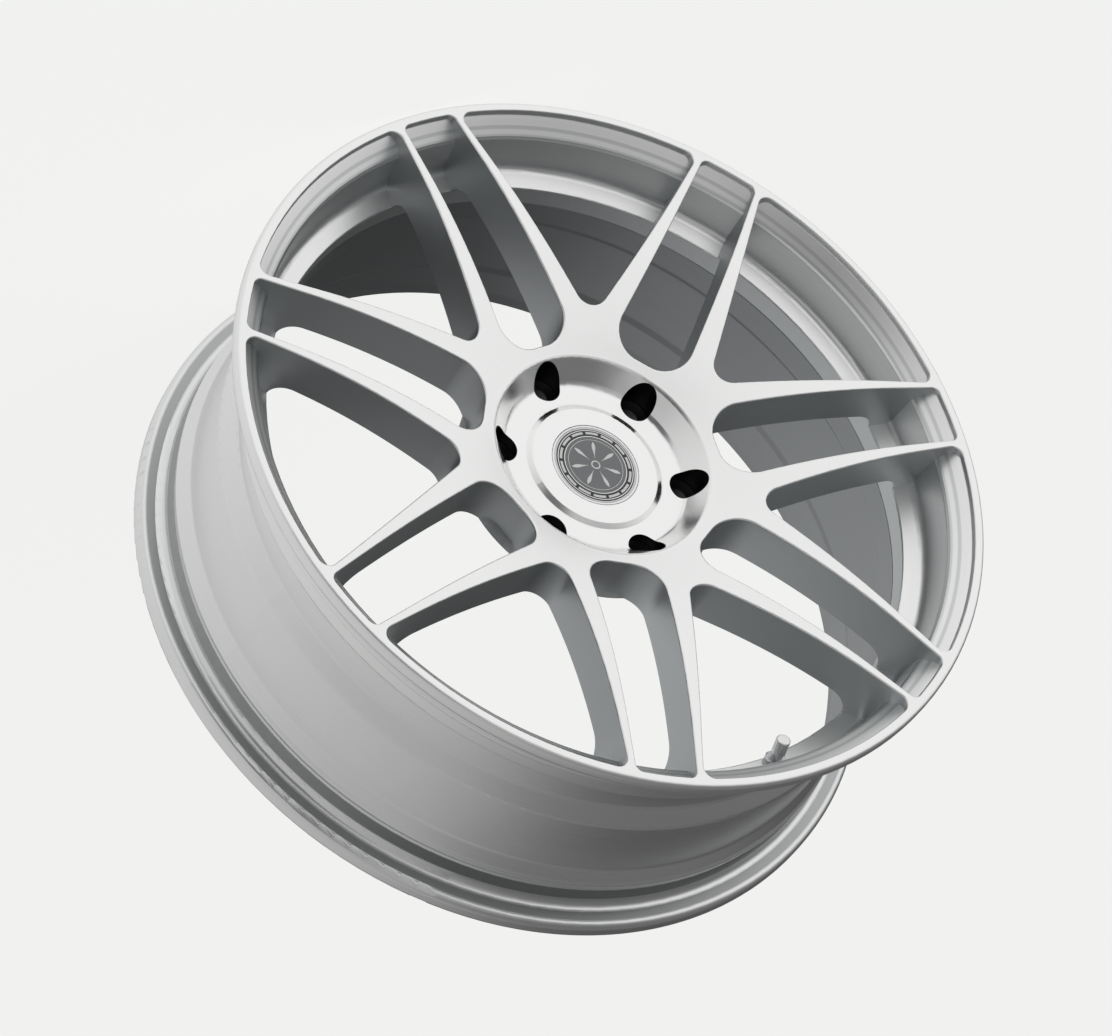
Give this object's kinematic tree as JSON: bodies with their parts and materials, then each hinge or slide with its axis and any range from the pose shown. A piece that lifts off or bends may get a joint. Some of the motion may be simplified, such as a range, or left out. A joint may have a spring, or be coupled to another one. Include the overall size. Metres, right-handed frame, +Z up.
{
  "type": "wheel rim",
  "caption": "Forged wheel rim with split twin spokes, a concave face, a dished hub with lug seats, a press-in centre cap and a clamp-in tyre valve.",
  "frame": {"origin": "middle of the rim's overall width, on the wheel's axis", "axes": "+Y along the wheel's axis, from the face towards the hub face; +Z up, through the valve; the face looks towards -Y"},
  "size_m": [0.5478, 0.2052, 0.5478],
  "materials": {
    "satin_alloy": "fine satin silver over forged and turned alloy",
    "steel": "turned steel",
    "spring_steel": "drawn wire",
    "brass": "turned brass",
    "rubber": "moulded rubber",
    "cap_plastic": "silver painted plastic",
    "emblem": "printed disc under clear resin",
    "foam": "adhesive foam"
  },
  "bodies": {
    "wheel": {"forged_centre": "satin_alloy", "rim_barrel": "satin_alloy", "barrel_weld": "satin_alloy", "lug_seats": "steel", "valve_stem": "satin_alloy", "valve_grommet": "rubber", "valve_washer": "satin_alloy", "valve_nut": "satin_alloy", "valve_core_body": "brass", "valve_core_gasket": "rubber", "valve_core_spring": "spring_steel"},
    "centre_cap": {"cap_shell": "cap_plastic", "cap_bezel": "satin_alloy", "cap_emblem": "emblem", "cap_emblem_pad": "foam", "cap_seal_ring": "rubber", "cap_spring_ring": "spring_steel"},
    "core_pin": {"valve_core_pin": "brass", "valve_core_cup": "rubber"},
    "dust_cap_seal": {"valve_cap_seal": "rubber"},
    "dust_cap": {"valve_cap": "satin_alloy"}
  },
  "joints": [
    {"name": "centre_cap_pull", "type": "slide", "parent": "wheel", "child": "centre_cap", "axis": [0, -1, 0], "range_m": [0, 0.03]},
    {"name": "core_press", "type": "slide", "parent": "wheel", "child": "core_pin", "axis": [0, 0.9669, 0.2553], "range_m": [0, 0.0012], "stiffness_N_per_m": 400, "springref_m": -0.002, "deforming": ["valve_core_spring"]},
    {"name": "dust_cap_rise", "type": "slide", "parent": "wheel", "child": "dust_cap_seal", "axis": [0, -0.9669, -0.2553], "range_m": [0, 0.00635]},
    {"name": "dust_cap_turn", "type": "hinge", "parent": "dust_cap_seal", "child": "dust_cap", "pos_m": [0, -0.07133, 0.23775], "axis": [0, -0.9669, -0.2553], "range_deg": [0, 2881]}
  ],
  "couplings": [
    {"joint": "dust_cap_turn", "follows": "dust_cap_rise", "rad_per_m": 7915.8}
  ]
}
